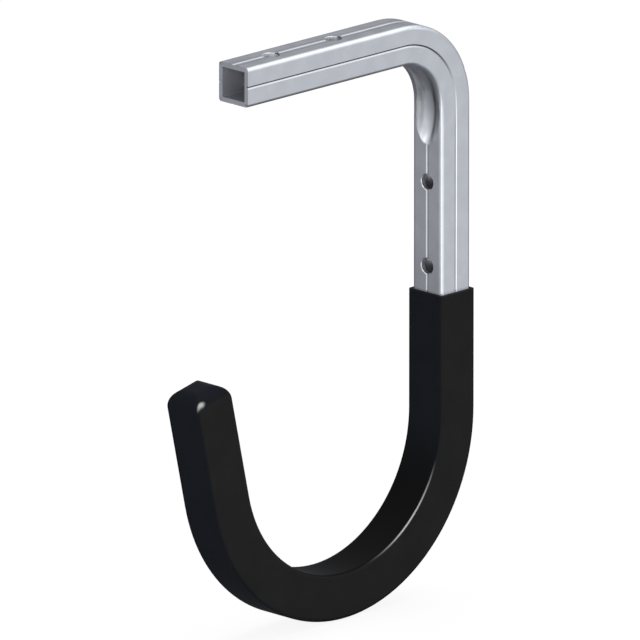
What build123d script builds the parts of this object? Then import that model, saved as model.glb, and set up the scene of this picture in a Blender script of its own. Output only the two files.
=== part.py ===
"""Rubber-coated wall hook: a bent square steel tube with a rubber sleeve over its hook.

Sizes are in millimetres. The leg's back lies in the wall plane Y = 0, the arm and the hook reach out
along -Y, and +Z is up. The origin is on the leg's back, midway between its two screw holes.
"""

import os

from build123d import *

# Square steel tube, with a V groove rolled along the middle of each side
tube_width = 15.0
tube_wall = 1.8
tube_corner_radius = 1.2
groove_width = 0.8
groove_depth = 0.27

# Length under the sleeve, where the tube is drawn plain and a touch slimmer, with a chamfer in place of
# each round corner. It starts this far above the sleeve's mouth, so the wall face ends clear of the rubber.
covered_lead = 0.05
covered_inset = 0.02
covered_chamfer = 0.7

# Route of the tube: arm, bend, leg, hook and tip, with the radii at its middle line
arm_reach = 115.0
bend_radius = 26.65
hook_drop = 150.95
hook_radius = 58.78
hook_turn = 167.3
tip_length = 40.4

# Trough that the bending die presses into the inside of the bend. The depth is at the bend's two ends.
die_radius = 7.2
trough_depth = 3.2
trough_shift = 3.05
trough_lip_radius = 0.8

# Screw holes: two through the arm and two through the leg, chamfered on the side that shows
hole_setback = 64.0
hole_spacing = 32.0
screw_hole_diameter = 6.0
hole_rim_chamfer = 0.25

# Rubber sleeve: a square boot pushed over the hook, with a solid rounded nose
sleeve_setback = 105.9
sleeve_wall = 1.31
sleeve_corner_radius = 1.5
sleeve_fit_clearance = 0.02
nose_length = 6.3
nose_radius = 6.2

# Places that follow from the sizes above
arm_top = hole_setback + hole_spacing / 2
arm_axis = arm_top - tube_width / 2
leg_axis = -tube_width / 2
hook_start = arm_top - hook_drop
sleeve_mouth = arm_top - sleeve_setback
bare_end = sleeve_mouth + covered_lead
sleeve_bore = tube_width + 2 * sleeve_fit_clearance
sleeve_width = sleeve_bore + 2 * sleeve_wall

with BuildLine(Plane.YZ) as bare_route:
    arm_line = Line((-arm_reach, arm_axis), (leg_axis - bend_radius, arm_axis))
    bend_arc = JernArc(arm_line @ 1, arm_line % 1, bend_radius, -90)
    Line(bend_arc @ 1, (leg_axis, bare_end))

with BuildLine(Plane.YZ) as covered_route:
    Line((leg_axis, bare_end), (leg_axis, hook_start))
    hook_arc = JernArc((leg_axis, hook_start), (0, -1), hook_radius, -hook_turn)
    tip_line = Line(hook_arc @ 1, hook_arc @ 1 + (hook_arc % 1) * tip_length)

with BuildLine(Plane.YZ) as sleeve_route:
    Line((leg_axis, sleeve_mouth), (leg_axis, hook_start))
    add(hook_arc)
    add(tip_line)

arm_end = Plane(arm_line @ 0, x_dir=(1, 0, 0), z_dir=arm_line % 0)
covered_start = Plane((0, leg_axis, bare_end), x_dir=(1, 0, 0), z_dir=(0, 0, -1))
mouth = Plane((0, leg_axis, sleeve_mouth), x_dir=(1, 0, 0), z_dir=(0, 0, -1))

# The trough's centre line is one arc, its centre shifted in from the bend's, so that the trough runs out
# into the arm and the leg
bend_inner_radius = bend_radius - tube_width / 2
bend_center_y = leg_axis - bend_radius
bend_center_z = arm_axis - bend_radius
trough_center = (bend_center_y - trough_shift, bend_center_z - trough_shift)
trough_radius = bend_inner_radius + trough_depth + trough_shift

with BuildLine(Plane.YZ) as trough_route:
    trough_arc = CenterArc(trough_center, trough_radius - die_radius, 135, -180)

trough_start = Plane(trough_arc @ 0, x_dir=(1, 0, 0), z_dir=trough_arc % 0)

# The bore keeps the wall's thickness behind the trough
with BuildPart() as tube_bore:
    with BuildSketch(arm_end):
        Rectangle(tube_width - 2 * tube_wall, tube_width - 2 * tube_wall)
    sweep(path=Wire(bare_route.edges() + covered_route.edges()))
    with BuildPart(mode=Mode.SUBTRACT):
        with BuildSketch(trough_start):
            RegularPolygon(die_radius + tube_wall, 8, major_radius=False, rotation=22.5)
        sweep(path=trough_route.wire())

with BuildPart() as bent_tube:
    with BuildSketch(arm_end):
        RectangleRounded(tube_width, tube_width, tube_corner_radius)
    sweep(path=bare_route.wire())
    with BuildSketch(trough_start):
        Circle(die_radius)
    sweep(path=trough_route.wire(), mode=Mode.SUBTRACT)
    trough_face = bent_tube.faces().filter_by(GeomType.TORUS).sort_by(SortBy.AREA)[-1]
    fillet(trough_face.edges(), trough_lip_radius)
    with BuildSketch(arm_end):
        with PolarLocations(tube_width / 2, 4):
            Polygon(
                (-groove_depth, 0),
                (groove_depth, groove_width),
                (groove_depth, -groove_width),
                align=None,
            )
    sweep(path=bare_route.wire(), mode=Mode.SUBTRACT)
    with BuildSketch(covered_start) as covered_section:
        Rectangle(tube_width - 2 * covered_inset, tube_width - 2 * covered_inset)
        chamfer(covered_section.vertices(), covered_chamfer)
    sweep(path=covered_route.wire())
    add(tube_bore.part, mode=Mode.SUBTRACT)
    for setback in (hole_setback, hole_setback + hole_spacing):
        arm_hole = Plane((0, -setback, arm_top), x_dir=(1, 0, 0), z_dir=(0, 0, 1))
        leg_hole = Plane((0, -tube_width, arm_top - setback), x_dir=(1, 0, 0), z_dir=(0, -1, 0))
        with Locations(arm_hole, leg_hole):
            CounterSinkHole(
                screw_hole_diameter / 2,
                screw_hole_diameter / 2 + hole_rim_chamfer,
                depth=tube_width,
                counter_sink_angle=90,
            )
bent_tube.part.label = "bent_tube"

with BuildPart() as rubber_sleeve:
    with BuildSketch(mouth):
        Rectangle(sleeve_width, sleeve_width)
    sweep(path=sleeve_route.wire())
    tip_axis = Axis(tip_line @ 1, tip_line % 1)
    extrude(rubber_sleeve.faces().sort_by(tip_axis)[-1], amount=nose_length)
    fillet(rubber_sleeve.faces().sort_by(tip_axis)[-1].edges(), nose_radius)
    fillet(rubber_sleeve.edges().filter_by(Axis.Z), sleeve_corner_radius)
    with BuildSketch(mouth):
        Rectangle(sleeve_bore, sleeve_bore)
    sweep(path=sleeve_route.wire(), mode=Mode.SUBTRACT)
rubber_sleeve.part.label = "rubber_sleeve"

os.makedirs("parts", exist_ok=True)
export_step(bent_tube.part, "parts/bent_tube.step")
export_step(rubber_sleeve.part, "parts/rubber_sleeve.step")
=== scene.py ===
"""Finishes and studio for the rubber-coated wall hook: satin zinc steel, black rubber, and soft light.

Lengths are in metres, and the hook hangs as it does on its wall. Every form of the hook comes from the frame.
The finishes add its colors, and painted shade and highlights that stand in for the tones a studio's cards give to
its grooves, trough, edges and holes, and for light and shade inside the tube, at the sleeve's mouth and on the
sleeve.
"""

from math import cos, radians, sin

import bmesh
import bpy
from bpy.props import FloatProperty, FloatVectorProperty, PointerProperty
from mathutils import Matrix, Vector


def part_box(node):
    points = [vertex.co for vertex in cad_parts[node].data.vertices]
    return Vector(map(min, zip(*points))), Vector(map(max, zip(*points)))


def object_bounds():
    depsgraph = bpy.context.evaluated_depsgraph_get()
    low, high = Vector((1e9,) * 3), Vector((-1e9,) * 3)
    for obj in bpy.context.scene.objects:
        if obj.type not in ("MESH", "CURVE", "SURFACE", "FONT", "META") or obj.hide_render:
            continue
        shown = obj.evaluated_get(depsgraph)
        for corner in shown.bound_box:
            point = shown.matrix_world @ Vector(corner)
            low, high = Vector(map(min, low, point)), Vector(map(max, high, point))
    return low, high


bl_info = {
    "name": "Rubber-Coated Wall Hook",
    "version": (1, 0, 0),
    "blender": (4, 5, 0),
    "location": "View3D > Sidebar > Hook",
    "description": "Finishes a bent steel tube hook with a rubber sleeve and sets it in a soft studio",
    "category": "Object",
}

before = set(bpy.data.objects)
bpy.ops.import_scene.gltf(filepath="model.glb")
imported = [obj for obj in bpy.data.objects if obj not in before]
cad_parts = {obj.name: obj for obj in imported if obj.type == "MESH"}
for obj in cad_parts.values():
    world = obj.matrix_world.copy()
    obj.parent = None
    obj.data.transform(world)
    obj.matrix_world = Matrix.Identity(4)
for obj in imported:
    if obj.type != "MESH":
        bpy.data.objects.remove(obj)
cad_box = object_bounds()
tube_low, tube_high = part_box("bent_tube")
sleeve_low, sleeve_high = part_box("rubber_sleeve")

# The tube's route, from the wall plane and the top of the arm, which its box reaches
TUBE_HALF = (tube_high.x - tube_low.x) / 2
BEND_RADIUS = 0.02665
BEND_INSET = TUBE_HALF + BEND_RADIUS
BEND_AXIS = (tube_high.y - BEND_INSET, tube_high.z - BEND_INSET)
BORE_HALF = 0.0058

# The trough inside the bend, whose middle line is an arc of its own
TROUGH_INSET = BEND_INSET + 0.00305
TROUGH_AXIS = (tube_high.y - TROUGH_INSET, tube_high.z - TROUGH_INSET)
TROUGH_RADIUS = 0.0182
TROUGH_SIDE = 0.0074

# Two holes in the arm and two in the leg, at the same distances from the corner
HOLE_MIDDLE = 0.080
HOLE_HALF_SPACING = 0.016
HOLE_RADIUS = 0.003
NOTCH_LENGTH = 0.0015

# The sleeve and the round of the hook
SLEEVE_WIDTH = sleeve_high.x - sleeve_low.x
SLEEVE_HALF = SLEEVE_WIDTH / 2
MOUTH_HEIGHT = tube_high.z - 0.1059
HOOK_RADIUS = 0.05878
HOOK_AXIS = (tube_high.y - TUBE_HALF - HOOK_RADIUS, tube_high.z - 0.15095)
HOOK_INNER_RADIUS = HOOK_RADIUS - SLEEVE_HALF
TIP_CORNER = (0.0077, -0.1396, -0.0426)

# Where the tube's masks start and are full, from its middle line out
FLAT_FACE = (0.0071, 0.0074)
SIDE_FACE = (0.0066, 0.0072)
ROUNDING = (0.0059, 0.0064)
RIM = (0.0058, 0.0064)
EDGE_BLUR = 0.0002

# How far the cloudy patches move the tone of a finish, and where they start and are full
CLOUDS = (0.3, 0.7)
ZINC_TONES = (0.97, 1.03)
RUBBER_TONES = (0.93, 1.07)
# Color of the rubber's painted highlights
GLEAM_COLOR = (0.42, 0.42, 0.42)
GRAIN_HEIGHT = 0.0001

# The tent: the brightest it gets, the darkest share of that, and how far below level its light starts to rise
TENT_PEAK = 3.0
TENT_DARKEST = 0.058
TENT_HORIZON = 0.268
COOL_CLOTH = (0.955, 0.98, 1.06)
WARM_CLOTH = (1.0, 1.0, 0.985)

FLOOR_HEIGHT = cad_box[0].z - 0.0002
FLOOR_PAPER = (0.9, 0.9, 0.9)
WHITE = (1.0, 1.0, 1.0)


class HookSteel(bpy.types.PropertyGroup):
    """Sizes and colors of the zinc-plated tube."""

    color: FloatVectorProperty(
        name="Zinc Color",
        description="Reflected color of the bright zinc plate",
        subtype="COLOR",
        size=3,
        min=0.0,
        max=1.0,
        default=(0.60, 0.617, 0.645),
    )
    # Paler color inside the bore: painted light that stands in for light reaching into the tube
    bore_light_color: FloatVectorProperty(
        name="Inner Color",
        description="Reflected color of the bare metal inside the tube",
        subtype="COLOR",
        size=3,
        min=0.0,
        max=1.0,
        default=(0.84, 0.85, 0.9),
    )
    roughness: FloatProperty(
        name="Roughness",
        description="Roughness of the satin plate",
        subtype="FACTOR",
        min=0.0,
        max=1.0,
        default=0.3,
    )
    mottle_size: FloatProperty(
        name="Mottle Size",
        description="Size of the cloudy patches in the plate",
        subtype="DISTANCE",
        unit="LENGTH",
        default=0.006,
    )


class HookRubber(bpy.types.PropertyGroup):
    """Sizes and colors of the rubber sleeve."""

    color: FloatVectorProperty(
        name="Rubber Color",
        description="Color of the black rubber on the flat sides of the sleeve",
        subtype="COLOR",
        size=3,
        min=0.0,
        max=1.0,
        default=(0.0112, 0.0112, 0.0110),
    )
    # Darker, bluer copy of the rubber on the faces that follow the bend: painted shade
    shaded_face_color: FloatVectorProperty(
        name="Face Color",
        description="Color of the black rubber on the faces that follow the bend",
        subtype="COLOR",
        size=3,
        min=0.0,
        max=1.0,
        default=(0.0066, 0.0079, 0.0106),
    )
    # Darker rubber at the bottom of the hook: painted shade in the cradle
    cradle_shade_color: FloatVectorProperty(
        name="Cradle Color",
        description="Color of the black rubber at the bottom of the hook, where loads have rubbed it",
        subtype="COLOR",
        size=3,
        min=0.0,
        max=1.0,
        default=(0.0032, 0.0032, 0.0032),
    )
    roughness: FloatProperty(
        name="Roughness",
        description="Roughness of the rubber skin",
        subtype="FACTOR",
        min=0.0,
        max=1.0,
        default=0.42,
    )
    grain_size: FloatProperty(
        name="Grain Size",
        description="Size of the fine grain of the rubber skin",
        subtype="DISTANCE",
        unit="LENGTH",
        default=0.0004,
    )


class HookStage(bpy.types.PropertyGroup):
    """Camera, lamps and backdrop."""

    azimuth: FloatProperty(
        name="Azimuth",
        description="Bearing of the camera round the hook, from straight in front",
        subtype="ANGLE",
        unit="ROTATION",
        default=radians(45.039),
    )
    elevation: FloatProperty(
        name="Elevation",
        description="Height of the camera above the horizon",
        subtype="ANGLE",
        unit="ROTATION",
        default=radians(15.834),
    )
    distance: FloatProperty(
        name="Distance",
        description="Distance from the camera to the middle of the picture",
        subtype="DISTANCE",
        unit="LENGTH",
        default=11.031,
    )
    aim: FloatVectorProperty(
        name="Aim",
        description="Point in the middle of the picture",
        subtype="XYZ",
        unit="LENGTH",
        size=3,
        default=(-0.02837, -0.04218, -0.03685),
    )
    lens: FloatProperty(
        name="Lens",
        description="Focal length of the camera in millimetres",
        default=1690.0,
    )
    tent_radius: FloatProperty(
        name="Tent Radius",
        description="Radius of the light tent that the steel mirrors",
        subtype="DISTANCE",
        unit="LENGTH",
        default=20.0,
    )


class Value:
    """A shader value that adds a Math node wherever it meets an operator."""

    def __init__(self, shader, socket):
        self.shader, self.socket = shader, socket

    def maths(self, operation, first, second=None):
        inputs = {0: first} if second is None else {0: first, 1: second}
        return self.shader.add("ShaderNodeMath", {"operation": operation}, inputs)

    def __add__(self, other):
        return self.maths("ADD", self, other)

    __radd__ = __add__

    def __sub__(self, other):
        return self.maths("SUBTRACT", self, other)

    def __rsub__(self, other):
        return self.maths("SUBTRACT", other, self)

    def __mul__(self, other):
        return self.maths("MULTIPLY", self, other)

    __rmul__ = __mul__

    def __truediv__(self, other):
        return self.maths("DIVIDE", self, other)

    def __pow__(self, other):
        return self.maths("POWER", self, other)

    def absolute(self):
        return self.maths("ABSOLUTE", self)

    def at_least(self, other):
        return self.maths("MAXIMUM", self, other)

    def at_most(self, other):
        return self.maths("MINIMUM", self, other)

    def ramp(self, low, high, to_low=0.0, to_high=1.0):
        """Return this value carried smoothly from one range to another."""
        return self.shader.add(
            "ShaderNodeMapRange",
            {"interpolation_type": "SMOOTHSTEP"},
            {"Value": self, "From Min": low, "From Max": high, "To Min": to_low, "To Max": to_high},
        )


class Shader:
    """A node tree whose nodes are made in one place."""

    def __init__(self, owner):
        owner.use_nodes = True
        self.tree = owner.node_tree
        self.tree.nodes.clear()

    def add(self, kind, settings=None, inputs=None, output=0):
        """Make a node, give it its settings, then the values or links of its sockets."""
        node = self.tree.nodes.new(kind)
        for name, value in (settings or {}).items():
            setattr(node, name, value)
        for name, value in (inputs or {}).items():
            if isinstance(value, Value):
                self.tree.links.new(value.socket, node.inputs[name])
            else:
                node.inputs[name].default_value = value
        return Value(self, node.outputs[output]) if len(node.outputs) else node

    def part(self, value, name):
        """Return another output of the node that a value came from."""
        return Value(self, value.socket.node.outputs[name])

    def place(self):
        """Return the point that is shaded, in the object's own coordinates."""
        return self.part(self.add("ShaderNodeTexCoord"), "Object")

    def split(self, point):
        """Return the three coordinates of a point."""
        x = self.add("ShaderNodeSeparateXYZ", {}, {0: point})
        return x, self.part(x, "Y"), self.part(x, "Z")

    def noise(self, point, scale, detail, roughness=0.5):
        """Return smooth noise about 0.5."""
        inputs = {"Vector": point, "Scale": scale, "Detail": detail, "Roughness": roughness}
        return self.add("ShaderNodeTexNoise", {"noise_dimensions": "3D"}, inputs)

    def mix(self, share, first, second):
        """Return a color that goes from the first to the second as the share goes from 0 to 1."""
        inputs = {"Factor": share, 6: solid(first), 7: solid(second)}
        return self.add("ShaderNodeMix", {"data_type": "RGBA"}, inputs, output=2)

    def scaled(self, color, scale):
        """Return a color made darker or brighter."""
        return self.add("ShaderNodeVectorMath", {"operation": "SCALE"}, {0: color, "Scale": scale})

    def bump(self, height, strength):
        """Return a normal that follows a fine grain."""
        return self.add("ShaderNodeBump", {}, {"Strength": strength, "Distance": GRAIN_HEIGHT, "Height": height})

    def seen_directly(self):
        """Return 1 for a ray from the camera, a mirror or glass, and 0 for one that only lights."""
        path = self.add("ShaderNodeLightPath")
        return path.at_least(self.part(path, "Is Glossy Ray")).at_least(self.part(path, "Is Transmission Ray"))

    def finish(self, surface, kind="ShaderNodeOutputMaterial"):
        """Put a surface on the tree's output."""
        self.add(kind, {}, {"Surface": surface})


def solid(color):
    """Return a color with full alpha, or a shader value as it is."""
    return color if isinstance(color, Value) else (*color, 1.0)


def hypotenuse(first, second):
    """Return the length of the third side of a right triangle."""
    return (first * first + second * second) ** 0.5


def band(value, low, high, soft=EDGE_BLUR):
    """Return 1 where a value lies between two limits and 0 outside them, with soft ends."""
    return value.ramp(low - soft / 2, low + soft / 2) * value.ramp(high + soft / 2, high - soft / 2)


def toned(*marks):
    """Return a tone that is 1 where there is no mark. Each mark is a strength and a mask of its place."""
    tone = 1.0
    for strength, mask in marks:
        tone = tone + strength * mask
    return tone


def give_material(piece, material):
    """Put a single material on a piece."""
    piece.data.materials.clear()
    piece.data.materials.append(material)


class TubePlace:
    """Where a point lies on the tube, as shader values that follow its route from the arm to the leg.

    outward is the distance from the middle line away from the bend's center, and inward is towards it.
    setback is the distance from the corner where arm and leg would meet. climb is the height round the
    trough's own center, from -1 to 1. arm_share goes from 0 on the leg to 1 on the arm. The rest are masks.
    """

    def __init__(self, shader, point):
        self.x, y, self.z = shader.split(point)
        rise = self.z - BEND_AXIS[1]
        reach = hypotenuse((y - BEND_AXIS[0]).at_least(0.0), rise.at_least(0.0))
        self.outward = reach - BEND_RADIUS
        self.inward = BEND_RADIUS - reach
        self.setback = (tube_high.y - y).at_least(tube_high.z - self.z)

        arm_share = rise.at_least(0.0) / reach
        self.arm_share = arm_share
        self.on_arm = arm_share.ramp(0.9, 0.99)
        self.on_leg = rise.ramp(0.004, -0.012)
        self.on_bend = ((1.0 - arm_share) * arm_share * 4.0).at_most(1.0)

        above = self.z - TROUGH_AXIS[1]
        turn = hypotenuse(y - TROUGH_AXIS[0], above)
        self.climb = above / turn
        self.pressed = hypotenuse(turn - TROUGH_RADIUS, self.x).ramp(TROUGH_SIDE + EDGE_BLUR, TROUGH_SIDE)
        self.unpressed = 1.0 - self.pressed

        self.side_face = self.x.absolute().ramp(*SIDE_FACE)
        self.inner_face = self.inward.ramp(*FLAT_FACE) * self.unpressed
        self.outer_face = self.outward.ramp(*FLAT_FACE)
        self.outer_round = self.outward.ramp(*ROUNDING)
        self.inner_round = self.inward.ramp(*ROUNDING)
        self.near_rim = self.x.ramp(*RIM)
        self.far_rim = (0.0 - self.x).ramp(*RIM)
        in_bore = self.x.absolute().at_least(self.outward.absolute())
        self.inside = in_bore.ramp(BORE_HALF, BORE_HALF - EDGE_BLUR) * self.unpressed

        from_middle = (self.setback - HOLE_MIDDLE).absolute() - HOLE_HALF_SPACING
        self.in_hole = hypotenuse(self.x, from_middle).ramp(HOLE_RADIUS + 0.0005, HOLE_RADIUS + 0.0003)
        far_wall = band(self.outward.absolute(), 0.0056, 0.0073) * self.x.ramp(0.0006, -0.0002)
        self.hole_wall = self.in_hole * far_wall


def trough_shade_and_highlight(tube):
    """Painted shade on the trough's far wall, in a stripe and in its middle, and painted highlights at its foot
    and on its pale near wall.
    """
    x, climb = tube.x, tube.climb
    below_arm = climb.ramp(0.62, 0.22)
    stripe = band(x, 0.0003, 0.0021, 0.0014) * climb.ramp(0.6, 0.15) * climb.ramp(-0.55, -0.3)
    dark_wall = x.ramp(-0.0026, -0.0046) * below_arm * climb.ramp(-0.45, -0.1)
    pale_wall = x.ramp(0.003, 0.0044) * below_arm
    middle = climb.ramp(0.3, 0.0) * climb.ramp(-0.42, -0.25)
    gleam = band(x, -0.0034, -0.0012, 0.0018) * band(climb, -0.62, -0.4, 0.16)
    darkest = (0.64 * stripe).at_least(0.62 * dark_wall).at_least(0.22 * middle)
    return 1.0 - tube.pressed * (darkest - 0.45 * gleam - 0.45 * pale_wall)


def groove_shade_and_highlight(tube):
    """Painted shade on one flank of each rolled groove and a painted highlight on the flank beside it, on the
    side, inner and outer faces.
    """
    x, outward = tube.x, tube.outward
    side_on_arm, side_on_leg = tube.side_face * tube.on_arm, tube.side_face * tube.on_leg
    dark_from_bend = tube.side_face * tube.arm_share.ramp(0.3, 1.0, 0.0, 0.9)
    return toned(
        (-1.0, dark_from_bend * band(outward, 0.00002, 0.0005, 0.00012)),
        (-0.45, side_on_arm * band(outward, -0.0002, 0.0, 0.00012)),
        (0.4, side_on_arm * band(outward, -0.00065, -0.0004)),
        (-0.75, side_on_leg * band(outward, -0.0006, 0.00005)),
        (0.4, side_on_leg * band(outward, 0.00005, 0.0005)),
        (-0.7, tube.inner_face * band(x, -0.00014, 0.0006)),
        (0.25, tube.inner_face * band(x, -0.0009, -0.0002)),
        (0.3, tube.outer_face * band(x, -0.0013, -0.0004)),
        (-0.15, tube.outer_face * band(x, 0.0001, 0.0005)),
        (-0.25, tube.outer_face * band(x.absolute(), 0.0014, 0.0023)),
    )


def edge_shade_and_highlight(tube):
    """Painted shade and highlights as dark and pale lines along the rounded edges, and painted shade on the inner
    face's darker foot.
    """
    outward, inward = tube.outward, tube.inward
    return toned(
        (0.2, tube.side_face * band(outward, 0.0059, 0.0066, 0.0003) * tube.on_arm),
        (0.15, tube.near_rim * tube.outer_round * tube.on_arm),
        (-0.45, tube.near_rim * band(inward, 0.0063, 0.007) * tube.on_arm),
        (0.25, tube.side_face * band(inward, 0.0062, 0.007) * tube.on_leg),
        (-0.5, tube.near_rim * outward.ramp(0.0062, 0.0066) * tube.on_leg),
        (-0.15, tube.side_face * outward.ramp(0.0058, 0.0066) * tube.on_bend),
        (-0.22, tube.far_rim * tube.outer_round),
        (-0.16, tube.far_rim * tube.inner_round),
        (0.2, tube.inner_face * tube.x.ramp(0.0055, 0.0064)),
        (-0.13, tube.inner_face * tube.z.ramp(0.0, -0.024)),
    )


def hole_shade_and_highlight(tube):
    """Painted highlight on the far wall of the arm's holes, painted shade on their near wall and dark rim and in
    their notches, and painted shade on the leg's hole walls.
    """
    x, setback = tube.x, tube.setback
    in_arm_hole = tube.in_hole * tube.on_arm
    notch = HOLE_MIDDLE - HOLE_HALF_SPACING - HOLE_RADIUS
    next_notch = notch + 2 * HOLE_HALF_SPACING
    notches = band(setback, notch - NOTCH_LENGTH, notch) + band(setback, next_notch - NOTCH_LENGTH, next_notch)
    return toned(
        (0.38, in_arm_hole * x.ramp(-0.0003, -0.0015)),
        (-0.3, in_arm_hole * x.ramp(0.0002, 0.0018)),
        (-0.55, in_arm_hole * tube.outward.ramp(0.0071, 0.0073)),
        (-0.85, notches * x.absolute().ramp(0.0009, 0.0005) * tube.on_arm * tube.outer_face),
        (-0.65, tube.hole_wall * tube.on_leg),
    )


def zinc_steel(settings):
    """Satin zinc plate: cloudy patches in its gloss, a faint grain, painted light inside the tube, and painted
    shade and highlights on its trough, grooves, edges, holes and brim.
    """
    material = bpy.data.materials.new("zinc_steel")
    shader = Shader(material)
    point = shader.place()
    tube = TubePlace(shader, point)
    # Painted shade on the tube at the sleeve's mouth, stronger on the inner face, where the metal also loses its
    # shine
    brim = tube.z.ramp(MOUTH_HEIGHT + 0.0008, MOUTH_HEIGHT + 0.0004)
    brim_shade = 1.0 - brim * (0.2 * tube.side_face).at_least(0.5 * tube.inner_face)
    # Painted shade on the floor of the bore
    bore_floor_shade = tube.inward.ramp(0.0053, 0.0056) * tube.x.absolute().ramp(0.0056, 0.0053)

    clouds = shader.noise(point, 1 / settings.mottle_size, 4.0, 0.55)
    plate = shader.mix(clouds.ramp(*CLOUDS), *(Vector(settings.color) * tone for tone in ZINC_TONES))
    # Painted shade and painted highlights on the trough, grooves, edges, holes and brim
    tone = trough_shade_and_highlight(tube) * groove_shade_and_highlight(tube) * edge_shade_and_highlight(tube) * hole_shade_and_highlight(tube) * brim_shade
    # Painted light inside the tube from the paler bore color, with painted shade on the bore's floor
    bore = shader.scaled(tuple(settings.bore_light_color), 1.0 - 0.7 * bore_floor_shade)
    surface = shader.add(
        "ShaderNodeBsdfPrincipled",
        {},
        {
            "Base Color": shader.mix(tube.inside, shader.scaled(plate, tone), bore),
            "Metallic": 1.0 - (0.24 * tube.inside).at_least(0.75 * tube.hole_wall).at_least(0.85 * brim),
            "Roughness": clouds.ramp(*CLOUDS, settings.roughness - 0.02, settings.roughness + 0.03),
            "Normal": shader.bump(shader.noise(point, 9 / settings.mottle_size, 3.0), 0.05),
        },
    )
    shader.finish(surface)
    return material


def black_rubber(settings):
    """Smooth black rubber: a fine grain, painted shade in its darker, bluer faces round the hook and its darker
    cradle, painted shade along its near and far edges, and two small painted highlights.
    """
    material = bpy.data.materials.new("black_rubber")
    shader = Shader(material)
    point = shader.place()
    x, y, z = shader.split(point)
    forward, drop = y - HOOK_AXIS[0], HOOK_AXIS[1] - z
    reach = hypotenuse(forward, drop.at_least(0.0))
    outward = reach - HOOK_INNER_RADIUS
    swing = drop / reach
    near_side = x.ramp(0.0072, 0.0078)
    outer_edge = outward.ramp(SLEEVE_WIDTH - 0.0015, SLEEVE_WIDTH - 0.0011)
    side_face = x.absolute().ramp(SLEEVE_HALF - 0.0007, SLEEVE_HALF - 0.0002)
    # Painted shade in the cradle at the bottom of the hook
    cradle = outward.ramp(0.0006, 0.0003) * drop.ramp(0.0, 0.03)
    # Painted highlights: a streak along the round's inner near edge, and a spot at the tip's corner
    edge_gleam = (
        band(x, 0.0081, 0.0086, 0.0003)
        * band(outward, 0.0001, 0.0006, 0.0003)
        * swing.ramp(0.3, 0.76)
        * swing.ramp(0.99, 0.76)
        * forward.ramp(0.0, 0.001)
    )
    from_tip = hypotenuse(hypotenuse(x - TIP_CORNER[0], (y - TIP_CORNER[1]) / 3.0), (z - TIP_CORNER[2]) / 4.0)
    gleam = edge_gleam.at_least(from_tip.ramp(0.0009, 0.0001))

    clouds = shader.noise(point, 0.03 / settings.grain_size, 3.0)
    # Painted shade along the sleeve's near outer edge on the leg and round the bottom, and along its far side
    rim_shade = 1.0 - 0.5 * forward.ramp(-0.03, -0.01) * near_side * outer_edge
    far_shade = 1.0 - 0.5 * x.ramp(-0.0071, -0.0076)
    faces = shader.mix(cradle, settings.shaded_face_color, settings.cradle_shade_color)
    skin = shader.mix(side_face, faces, settings.color)
    rubber = shader.scaled(skin, clouds.ramp(*CLOUDS, *RUBBER_TONES) * rim_shade * far_shade)
    surface = shader.add(
        "ShaderNodeBsdfPrincipled",
        {},
        {
            "Base Color": shader.mix(gleam, rubber, GLEAM_COLOR),
            "IOR": 1.09,
            "Roughness": clouds.ramp(*CLOUDS, settings.roughness - 0.02, settings.roughness + 0.02),
            "Normal": shader.bump(shader.noise(point, 1 / settings.grain_size, 2.0), 0.08),
        },
    )
    shader.finish(surface)
    return material


class HOOK_OT_finish_tube(bpy.types.Operator):
    """Give the bent tube its zinc plate"""

    bl_idname = "hook.finish_tube"
    bl_label = "Finish Tube"

    def execute(self, context):
        give_material(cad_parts["bent_tube"], zinc_steel(context.scene.hook_steel))
        return {"FINISHED"}


class HOOK_OT_finish_sleeve(bpy.types.Operator):
    """Give the sleeve its black rubber"""

    bl_idname = "hook.finish_sleeve"
    bl_label = "Finish Sleeve"

    def execute(self, context):
        give_material(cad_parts["rubber_sleeve"], black_rubber(context.scene.hook_rubber))
        return {"FINISHED"}


def mesh_object(name, mesh, material):
    """Make an object from a bmesh, with one material."""
    data = bpy.data.meshes.new(name)
    mesh.to_mesh(data)
    mesh.free()
    data.materials.append(material)
    thing = bpy.data.objects.new(name, data)
    bpy.context.scene.collection.objects.link(thing)
    return thing


def direction(azimuth, elevation=0.0):
    """Return the unit vector towards a bearing, measured as the camera's is, and a height above level."""
    return Vector((sin(azimuth) * cos(elevation), -cos(azimuth) * cos(elevation), sin(elevation)))


def white_paper():
    """White paper for the floor, which keeps the shadow of the hook."""
    material = bpy.data.materials.new("white_paper")
    shader = Shader(material)
    matte = shader.add("ShaderNodeBsdfDiffuse", {}, {"Color": solid(FLOOR_PAPER)})
    glow = shader.add("ShaderNodeEmission", {}, {"Color": solid(WHITE), "Strength": 1.0})
    share = shader.seen_directly() * 0.9
    shader.finish(shader.add("ShaderNodeMixShader", {}, {0: share, 1: matte, 2: glow}))
    return material


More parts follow.
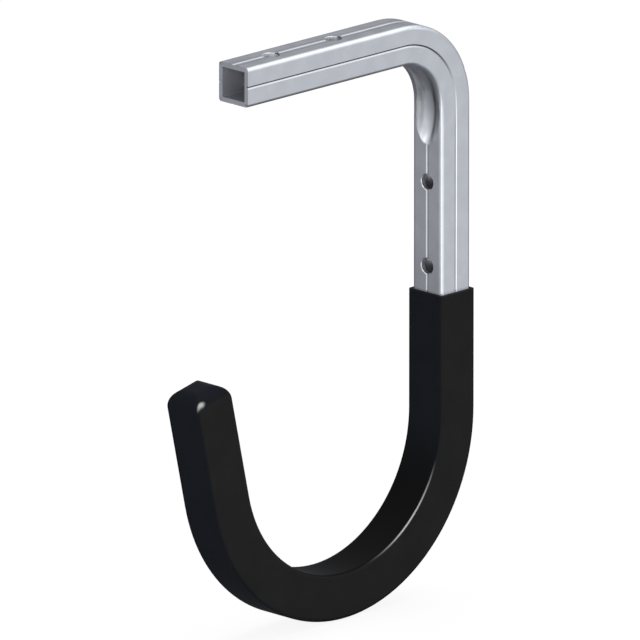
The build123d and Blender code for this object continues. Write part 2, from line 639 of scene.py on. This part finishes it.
def tent_cloth(stage):
    """Cloth of the light tent as gloss mirrors it: brightest overhead and in front, dark and bluish low behind."""
    material = bpy.data.materials.new("tent_cloth")
    shader = Shader(material)
    towards = shader.add("ShaderNodeVectorMath", {"operation": "NORMALIZE"}, {0: shader.place()})

    def along(axis):
        return shader.add("ShaderNodeVectorMath", {"operation": "DOT_PRODUCT"}, {0: towards, 1: axis}, output=1)

    front = along(direction(stage.azimuth))
    side = along(direction(stage.azimuth + radians(90)))
    up = along((0, 0, 1)) + TENT_HORIZON
    ahead, behind = front.at_least(0.0), front.at_most(0.0)
    edge_card = along(direction(stage.azimuth, -stage.elevation)).at_least(0.0) ** 30
    level_light = 0.596 + 0.192 * side + 0.3 * ahead + 0.69 * behind + 0.264 * behind * behind + 1.45 * edge_card
    rise = 1.0 + 0.265 * side + 1.17 * ahead + 0.62 * behind
    light = level_light + rise * up.at_least(0.0) + 0.6 * up.at_most(0.0)
    shade_in_front = 0.57 * front.ramp(0.75, 0.92) * up.ramp(0.3, 0.45)
    level = (light * (1.0 - shade_in_front) / TENT_PEAK).at_least(TENT_DARKEST).at_most(1.0)
    color = shader.scaled(shader.mix(level * 1.25, COOL_CLOTH, WARM_CLOTH), level)
    shader.finish(shader.add("ShaderNodeEmission", {}, {"Color": color, "Strength": TENT_PEAK}))
    return material


def soft_box(name, bearing, height, distance, size, power):
    """Hang a lamp round the hook's middle, at angles in degrees. Mirrors and the camera don't see it."""
    middle = (cad_box[0] + cad_box[1]) / 2
    back = direction(radians(bearing), radians(height))
    lamp = bpy.data.lights.new(name, "AREA")
    lamp.shape = "RECTANGLE"
    lamp.size, lamp.size_y = size
    lamp.energy = power
    holder = bpy.data.objects.new(name, lamp)
    holder.location = middle + back * distance
    holder.rotation_euler = back.to_track_quat("Z", "Y").to_euler()
    holder.visible_camera = False
    holder.visible_glossy = False
    bpy.context.scene.collection.objects.link(holder)


def light_world(context):
    """Give the world a white background and a dimmer, even light."""
    world = context.scene.world or bpy.data.worlds.new("studio")
    context.scene.world = world
    shader = Shader(world)
    dim = shader.add("ShaderNodeBackground", {}, {"Color": solid(WHITE), "Strength": 0.6})
    white = shader.add("ShaderNodeBackground", {}, {"Color": solid(WHITE), "Strength": 1.0})
    share = shader.seen_directly()
    shader.finish(shader.add("ShaderNodeMixShader", {}, {0: share, 1: dim, 2: white}), "ShaderNodeOutputWorld")


def aim_camera(context, stage):
    """Stand a camera at the stage's bearing and height, and aim it at the stage's aim."""
    back = direction(stage.azimuth, stage.elevation)
    lens = bpy.data.cameras.new("camera")
    lens.lens = stage.lens
    lens.sensor_width = 36.0
    lens.clip_start, lens.clip_end = stage.distance * 0.5, stage.distance * 4
    camera = bpy.data.objects.new("camera", lens)
    camera.location = Vector(stage.aim) + back * stage.distance
    camera.rotation_euler = back.to_track_quat("Z", "Y").to_euler()
    context.scene.collection.objects.link(camera)
    context.scene.camera = camera


class HOOK_OT_set_stage(bpy.types.Operator):
    """Lay the floor, hang the tent and the lamps, and aim the camera"""

    bl_idname = "hook.set_stage"
    bl_label = "Set Stage"

    def execute(self, context):
        stage = context.scene.hook_stage
        floor_mesh = bmesh.new()
        bmesh.ops.create_circle(floor_mesh, cap_ends=True, segments=96, radius=stage.tent_radius)
        bmesh.ops.translate(floor_mesh, verts=floor_mesh.verts, vec=(0, 0, FLOOR_HEIGHT))
        floor = mesh_object("floor", floor_mesh, white_paper())
        floor.visible_glossy = False

        tent_mesh = bmesh.new()
        bmesh.ops.create_uvsphere(tent_mesh, u_segments=64, v_segments=32, radius=stage.tent_radius)
        tent = mesh_object("light_tent", tent_mesh, tent_cloth(stage))
        tent.visible_camera = False
        tent.visible_diffuse = False
        tent.visible_shadow = False
        tent.visible_transmission = False
        tent.visible_volume_scatter = False

        soft_box("top_box", bearing=200, height=60, distance=1.2, size=(1.2, 1.2), power=14)
        soft_box("front_box", bearing=45, height=5, distance=1.0, size=(1.2, 0.5), power=6)
        light_world(context)
        aim_camera(context, stage)
        context.scene.view_settings.view_transform = "Standard"
        return {"FINISHED"}


class HOOK_PT_panel(bpy.types.Panel):
    """Buttons and sizes of the wall hook"""

    bl_label = "Wall Hook"
    bl_idname = "HOOK_PT_panel"
    bl_space_type = "VIEW_3D"
    bl_region_type = "UI"
    bl_category = "Hook"

    def draw(self, context):
        for operator in OPERATORS:
            self.layout.operator(operator.bl_idname)
        for group in (context.scene.hook_steel, context.scene.hook_rubber, context.scene.hook_stage):
            column = self.layout.box().column()
            for name in group.__annotations__:
                column.prop(group, name)


SETTINGS = {"hook_steel": HookSteel, "hook_rubber": HookRubber, "hook_stage": HookStage}
OPERATORS = (HOOK_OT_finish_tube, HOOK_OT_finish_sleeve, HOOK_OT_set_stage)


def register():
    for group in SETTINGS.values():
        bpy.utils.register_class(group)
    for name, group in SETTINGS.items():
        setattr(bpy.types.Scene, name, PointerProperty(type=group))
    for operator in OPERATORS:
        bpy.utils.register_class(operator)
    bpy.utils.register_class(HOOK_PT_panel)


def unregister():
    bpy.utils.unregister_class(HOOK_PT_panel)
    for operator in reversed(OPERATORS):
        bpy.utils.unregister_class(operator)
    for name in SETTINGS:
        delattr(bpy.types.Scene, name)
    for group in reversed(SETTINGS.values()):
        bpy.utils.unregister_class(group)


def main():
    register()
    bpy.ops.hook.finish_tube()
    bpy.ops.hook.finish_sleeve()
    bpy.ops.hook.set_stage()


if __name__ == "__main__":
    main()
